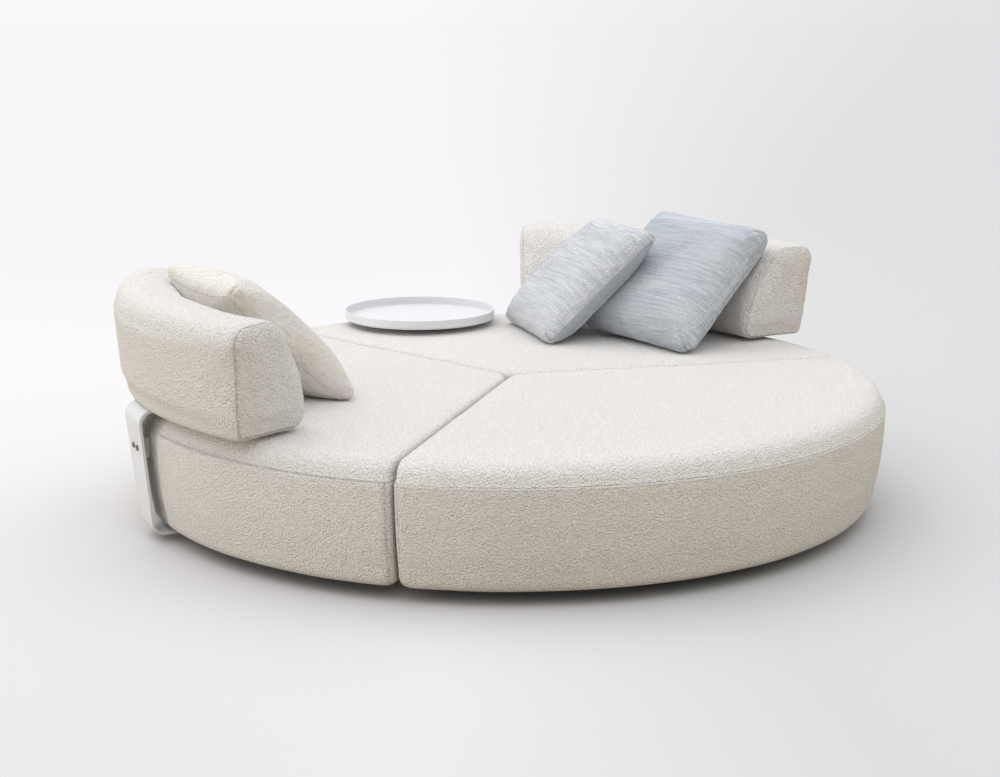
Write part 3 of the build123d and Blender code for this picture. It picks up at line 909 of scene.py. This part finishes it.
# one value for each corner of a cushion
def perCorner(local, values):
    lowLeft, lowRight, highRight, highLeft = values
    right = local[:, 0] > 0
    low = np.where(right, lowRight, lowLeft)
    high = np.where(right, highRight, highLeft)
    return np.where(local[:, 1] < 0, low, high)


# 0 along the middle lines, 1 in the corners
def cornerShare(local, half):
    inPlane = np.minimum(np.abs(local[:, 0]), np.abs(local[:, 1]))
    return np.clip(inPlane / half, 0, 1) ** 4


# a square corner becomes a round one
def roundCorners(local, cushion):
    radius = perCorner(local, cushion["round"])
    over = np.maximum(np.abs(local[:, :2]) - (cushion["half"] - radius)[:, None], 0)
    length = np.maximum(np.hypot(over[:, 0], over[:, 1]), 1e-9)
    share = np.where(over.min(1) > 0, over.max(1) / length, 1)
    local[:, :2] -= np.sign(local[:, :2]) * over * (1 - share)[:, None]
    return local


# gathered corners: thinner, pulled out to a small tip, with folds that run away from them
def foldCorners(local, normals, cushion):
    half = cushion["half"]
    x, y = np.abs(local[:, 0]), np.abs(local[:, 1])
    away = np.hypot(half - x, half - y)
    corner = np.exp(-((away / cushionForm["foldReach"]) ** 2))
    turn = np.arctan2(half - y, half - x)
    strength = corner * np.clip(away / cushionForm["foldStart"], 0, 1)
    shift = 2.0 * np.sign(local[:, 0]) + np.sign(local[:, 1])
    wave = np.sin(turn * 2 * cushionForm["folds"] + shift)
    local = local + normals * (cushionForm["foldDeep"] * strength * wave)[:, None]
    local[:, 2] *= 1 - cushion["pinch"] * corner
    local[:, :2] += np.sign(local[:, :2]) * (perCorner(local, cushion["tips"]) * corner)[:, None]
    return local


# the lowest part flattens on the seat
def settle(points):
    rise = points[:, 2] - points[:, 2].min() - cushionForm["sink"]
    soft = cushionForm["soft"]
    flat = soft * np.exp(np.minimum((rise - soft) / soft, 0))
    points[:, 2] = seatLevel + np.where(rise > soft, rise, flat)
    return points


def surfaceTree(piece):
    rows = [face.vertices[:] for face in piece.data.polygons]
    return BVHTree.FromPolygons([vert.co for vert in piece.data.vertices], rows)


# points that would lie inside a neighbour move to its surface
def keepClear(points, neighbour):
    tree = surfaceTree(neighbour)
    for i, point in enumerate(points):
        spot, normal, face, distance = tree.find_nearest(Vector(point), cushionForm["search"])
        if spot is None:
            continue
        inside = (Vector(point) - spot).dot(normal)
        if inside < cushionForm["clear"]:
            points[i] += np.array(normal) * (cushionForm["clear"] - inside)
    return points


# the groove that the zip lies in, in the bottom edge
def zipGroove(local, half):
    groove = np.clip((cushionForm["grooveHalf"] - np.abs(local[:, 0])) / cushionForm["grooveEnd"], 0, 1)
    beside = (cushionForm["grooveWide"] - np.abs(local[:, 2])) / cushionForm["grooveSoft"]
    groove *= np.clip(beside + 1, 0, 1) * (local[:, 1] < -half * cushionForm["sideFrom"])
    return cushionForm["grooveDeep"] * groove


# a zip in the bottom edge: a tape, two rows of teeth, a slider and its pull
zipForm = {
    "length": 0.30,
    "tape": 0.0042,
    "tapeThick": 0.0005,
    "tapeLift": 0.0001,
    "castFrom": -0.6,
    "gap": 0.0026,
    "tooth": (0.0015, 0.0016, 0.0009),
    "toothBevel": 0.0003,
    "rowApart": 0.0005,
    "toothLift": 0.0006,
    "sliderLift": 0.0010,
    "sliderIn": 0.008,
    "slider": ((5.0, 1.6, 3.0), -0.5),  # size in teeth, and place as a share of the length
    "pull": ((8.0, 0.6, 1.6), -0.47),
}


def toothForm():
    deselectAll()
    bpy.ops.mesh.primitive_cube_add(size=1)
    tooth = bpy.context.object
    tooth.scale = zipForm["tooth"]
    bpy.ops.object.transform_apply(location=False, rotation=False, scale=True)
    bpy.ops.object.mode_set(mode="EDIT")
    bpy.ops.mesh.bevel(offset=zipForm["toothBevel"], segments=1)
    bpy.ops.object.mode_set(mode="OBJECT")
    return takeForm(tooth)


def sewZip(name, piece, centre, spin):
    tree = surfaceTree(piece)
    upwards = spin @ Vector((0, 1, 0))

    # the place on the bottom edge that is seen from below
    def onEdge(x, z, lift):
        start = centre + spin @ Vector((x, zipForm["castFrom"], z))
        spot, normal, face, distance = tree.ray_cast(start, upwards)
        return spot - upwards * lift

    deselectAll()
    bpy.ops.mesh.primitive_grid_add(x_subdivisions=60, y_subdivisions=4, size=1)
    tape = bpy.context.object
    tape.name = name + "_cushion_zip_run"
    for vert in tape.data.vertices:
        x, z = vert.co.x * zipForm["length"], vert.co.y * zipForm["tape"]
        vert.co = onEdge(x, z, zipForm["tapeLift"])
    applyModifier(tape, "SOLIDIFY", thickness=zipForm["tapeThick"], offset=1)
    corners, faces = toothForm()
    spots = []
    count = int(zipForm["length"] / zipForm["gap"])
    for step in range(count):
        x = (step - count / 2) * zipForm["gap"]
        side = zipForm["rowApart"] if step % 2 else -zipForm["rowApart"]
        spots.append((onEdge(x, side, zipForm["toothLift"]), (1, 1, 1)))
    for size, reach in (zipForm["slider"], zipForm["pull"]):
        x = reach * zipForm["length"] + zipForm["sliderIn"]
        spots.append((onEdge(x, 0, zipForm["sliderLift"]), size))
    points = []
    polygons = []
    for spot, (long, tall, wide) in spots:
        first = len(points)
        for corner in corners:
            points.append(spot + spin @ Vector((corner.x * long, corner.z * tall, corner.y * wide)))
        polygons += [[first + index for index in face] for face in faces]
    teeth = pieceFromRows(name + "Teeth", points, polygons)
    makeActive(tape)
    teeth.select_set(True)
    bpy.ops.object.join()
    tape.data.materials.clear()
    tape.data.materials.append(speckled(name + "Zip", cushions[name]["look"]["dark"], 0.6, 600.0))
    makeActive(tape)
    bpy.ops.object.mode_set(mode="EDIT")
    bpy.ops.mesh.select_all(action="SELECT")
    bpy.ops.mesh.normals_make_consistent(inside=False)
    bpy.ops.object.mode_set(mode="OBJECT")
    smoothShade(tape, 40)
    return tape


# only the left and right sides have a band of their own fabric
def sidePart(centre, spin, half):
    sideways = spin @ Vector((1, 0, 0))

    def isSide(spot):
        return abs((spot - centre).dot(sideways)) > half * cushionForm["sideFrom"]

    return isSide


# the faces between the two seams on these sides get the second fabric
def paintBand(piece, local, seams):
    for face in piece.data.polygons:
        across = np.mean(local[list(face.vertices), 2])
        x, y = np.abs(local[face.vertices[0], :2])
        face.material_index = int(x > y * bandLook["mitre"] and seams[0] < across < seams[1])


for name, cushion in cushions.items():
    low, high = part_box(name + "_cushion_cover")
    centre = (Vector(low) + Vector(high)) / 2
    leaning = Matrix.Rotation(radians(90 - cushion["lean"]), 3, "X")
    spin = Matrix.Rotation(radians(cushion["turn"]), 3, "Z") @ leaning
    axes = np.array(spin)
    middle = np.array(centre)
    half = cushion["half"]
    piece = outerSkin(name + "_cushion_cover", name + "_cushion", noWall)
    regrid(piece, cushionForm["voxel"], cushionForm["smooth"])
    local = roundCorners((getPoints(piece) - middle) @ axes, cushion)
    local[:, 2] *= 1 + cushionForm["sag"] * np.clip(-local[:, 1] / half, 0, 1) ** 2
    inPlane = np.clip(local[:, :2] / half, -1, 1)
    local[:, :2] += cushionForm["bow"] * inPlane * np.abs(inPlane) ** 3 * (1 - inPlane[:, ::-1] ** 2)
    local[:, 1] -= cushion["skew"] * local[:, 0]
    setPoints(piece, (local * cushion["start"]) @ axes.T + middle)
    puff(piece, cushionForm["pressure"], cushionForm["cap"], cushionForm["slack"])
    local = foldCorners((getPoints(piece) - middle) @ axes, getNormals(piece) @ axes, cushion)
    local[:, 1] += zipGroove(local, half)
    points = settle(local @ axes.T + middle)
    for neighbour in cushion["leansOn"]:
        points = keepClear(points, upholstered[neighbour])
    setPoints(piece, points)
    applyModifier(piece, "SUBSURF", levels=1, render_levels=1)
    # the seams are cut while the corners are held thick, so that they draw together there
    local = (getPoints(piece) - middle) @ axes
    local[:, 2] /= 1 - cushion["band"] * cornerShare(local, half)
    setPoints(piece, local @ axes.T + middle)
    facing = spin @ Vector((0, 0, 1))
    hasBand = len(cushion["seams"]) == 2
    isPart = sidePart(centre, spin, half) if hasBand else None
    for offset in cushion["seams"]:
        place = centre + facing * offset
        sewSeam(piece, place, facing, cushionForm["seamWidth"], cushionForm["seamDepth"], isPart)
    local = (getPoints(piece) - middle) @ axes
    if hasBand:
        paintBand(piece, local, cushion["seams"])
    local[:, 2] *= 1 - cushion["band"] * cornerShare(local, half)
    setPoints(piece, local @ axes.T + middle)
    piece.data.materials.append(cushionFabric(name + "Fabric", centre, spin, cushion["look"]))
    if hasBand:
        piece.data.materials.append(cushionFabric(name + "Band", centre, spin, bandLook))
    smoothShade(piece)
    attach(piece, name + "_cushion")
    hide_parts(name + "_cushion_cover", name + "_cushion_fill")
    upholstered[name] = piece
    zipper = sewZip(name, piece, centre, spin)
    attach(zipper, name + "_cushion")
    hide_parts(name + "_cushion_zip")
print("cushions made")


# floor, sky colour and soft light; floor and sky fade from left to right the same way, painted light
# that falls off to the right, and the floor is painted darker in pools that level out its light:
# painted shade before the sofa and far left under the lamps
studio = {
    "floorSize": 4000,
    "across": (0.9656, 0.2599, 0.0),
    "turnReach": 2.4,
    # painted light: floor and backdrop colour falls from near white on the left to grey on the right
    "fade": [
        (0.0, (251, 249, 250)), (0.47, (250, 248, 250)),
        (0.62, (227, 227, 227)), (1.0, (219, 219, 219)),
    ],
    "floorLevel": 0.855,
    # painted shade: the floor is darker round the front of the sofa, more to its left, and far left
    # where the lamps light it most
    "shadePools": [
        {"centre": (0.6, -2.8, 0), "reach": 2.5, "level": 0.865, "tilt": 0.20},
        {"centre": (-4.0, 4.5, 0), "reach": 4.0, "level": 0.90, "tilt": 0.0},
    ],
    "bounce": (0.47, 0.42, 0.33),
    "zenith": 1.70,
    "horizon": 0.18,
    "zenithColour": (0.98, 0.985, 1.0),
    "horizonColour": (1.0, 0.95, 0.85),
    "sideways": 0.06,
    "lamps": [
        {"place": (-5.0, 2.4, 8.0), "aim": (0, 0, 0.3), "size": 6.0, "power": 115},
        {"place": (-9.5, -4.2, 0.9), "aim": (0, 0, 0.5), "size": 1.8, "power": 190},
    ],
}


def paintedFalloffAndShade(material, direction, level=1.0, shadePools=()):
    nodes = material.node_tree.nodes
    links = material.node_tree.links
    across = addNode(nodes, "ShaderNodeVectorMath", operation="DOT_PRODUCT")
    links.new(direction, across.inputs[0])
    across.inputs[1].default_value = studio["across"]
    length = addNode(nodes, "ShaderNodeVectorMath", operation="LENGTH")
    links.new(direction, length.inputs[0])
    squared = mathNode(material, "MULTIPLY", length.outputs["Value"], length.outputs["Value"])
    reach = mathNode(material, "SQRT", mathNode(material, "ADD", squared, studio["turnReach"] ** 2))
    turn = mathNode(material, "DIVIDE", across.outputs["Value"], reach)
    share = mathNode(material, "ADD", mathNode(material, "MULTIPLY", turn, 0.5), 0.5)
    # painted light: the colour fades from left to right
    stops = [(place, tuple(part * level for part in srgb(*tint))) for place, tint in studio["fade"]]
    colour = rampNode(material, share, stops)
    # painted shade: each pool darkens the floor round its centre, tilted to one side
    for shadePool in shadePools:
        away = addNode(nodes, "ShaderNodeVectorMath", operation="DISTANCE")
        links.new(direction, away.inputs[0])
        away.inputs[1].default_value = shadePool["centre"]
        awaySquared = mathNode(material, "MULTIPLY", away.outputs["Value"], away.outputs["Value"])
        widened = mathNode(material, "ADD", awaySquared, shadePool["reach"] ** 2)
        near = mathNode(material, "DIVIDE", shadePool["reach"] ** 2, widened)
        tilted = mathNode(material, "MULTIPLY", turn, shadePool["tilt"])
        change = mathNode(material, "SUBTRACT", tilted, 1 - shadePool["level"])
        dim = mathNode(material, "ADD", mathNode(material, "MULTIPLY", near, change), 1.0)
        scaled = addNode(nodes, "ShaderNodeVectorMath", operation="SCALE")
        links.new(colour, scaled.inputs[0])
        links.new(dim, scaled.inputs["Scale"])
        colour = scaled.outputs["Vector"]
    return colour


# seen by the camera or in a reflection, not as light on the object
def seenDirectly(material):
    rays = addNode(material.node_tree.nodes, "ShaderNodeLightPath").outputs
    glossy = mathNode(material, "MAXIMUM", rays["Is Glossy Ray"], rays["Is Transmission Ray"])
    return mathNode(material, "MAXIMUM", rays["Is Camera Ray"], glossy)


deselectAll()
bpy.ops.mesh.primitive_plane_add(size=studio["floorSize"], location=(0, 0, 0))
floor = bpy.context.object
floor.name = "floor"
floorMaterial, floorNodes, floorLinks, floorShader = newMaterial("floorPaint", 0.8)
floorPlace = addNode(floorNodes, "ShaderNodeTexCoord").outputs["Object"]
floorMix = addNode(floorNodes, "ShaderNodeMix", data_type="RGBA")
floorLinks.new(seenDirectly(floorMaterial), floorMix.inputs["Factor"])
floorMix.inputs["A"].default_value = (*studio["bounce"], 1)
floorColour = paintedFalloffAndShade(floorMaterial, floorPlace, studio["floorLevel"], studio["shadePools"])
floorLinks.new(floorColour, floorMix.inputs["B"])
floorLinks.new(floorMix.outputs["Result"], floorShader.inputs["Base Color"])
floorShader.inputs["Specular IOR Level"].default_value = 0.1
floor.data.materials.append(floorMaterial)

world = bpy.data.worlds.new("studio")
scene.world = world
world.use_nodes = True
skyNodes = world.node_tree.nodes
skyLinks = world.node_tree.links
skyWay = addNode(skyNodes, "ShaderNodeTexCoord").outputs["Generated"]
skySplit = addNode(skyNodes, "ShaderNodeSeparateXYZ")
skyLinks.new(skyWay, skySplit.inputs[0])
height = mathNode(world, "MAXIMUM", skySplit.outputs["Z"], 0.0)
climb = mathNode(world, "MULTIPLY", height, studio["zenith"] - studio["horizon"])
rise = mathNode(world, "ADD", climb, studio["horizon"])
leaning = mathNode(world, "MULTIPLY", skySplit.outputs["X"], studio["sideways"])
sideways = mathNode(world, "SUBTRACT", 1.0, leaning)
background = skyNodes["Background"]
skyColour = rampNode(world, height, [(0.0, studio["horizonColour"]), (0.6, studio["zenithColour"])])
skyLinks.new(skyColour, background.inputs["Color"])
skyLinks.new(mathNode(world, "MULTIPLY", rise, sideways), background.inputs["Strength"])
shown = addNode(skyNodes, "ShaderNodeBackground")
skyWide = addNode(skyNodes, "ShaderNodeVectorMath", operation="SCALE")
skyWide.inputs["Scale"].default_value = studio["floorSize"]
skyLinks.new(skyWay, skyWide.inputs[0])
skyLinks.new(paintedFalloffAndShade(world, skyWide.outputs["Vector"]), shown.inputs["Color"])
blended = addNode(skyNodes, "ShaderNodeMixShader")
skyLinks.new(seenDirectly(world), blended.inputs[0])
skyLinks.new(background.outputs[0], blended.inputs[1])
skyLinks.new(shown.outputs[0], blended.inputs[2])
skyLinks.new(blended.outputs[0], skyNodes["World Output"].inputs["Surface"])

for number, lamp in enumerate(studio["lamps"]):
    light = bpy.data.lights.new("softLamp%d" % number, "AREA")
    light.size = lamp["size"]
    light.energy = lamp["power"]
    stand = bpy.data.objects.new(light.name, light)
    stand.location = lamp["place"]
    towards = Vector(lamp["aim"]) - Vector(lamp["place"])
    stand.rotation_euler = towards.to_track_quat("-Z", "Y").to_euler()
    stand.visible_camera = False
    scene.collection.objects.link(stand)
print("studio set")
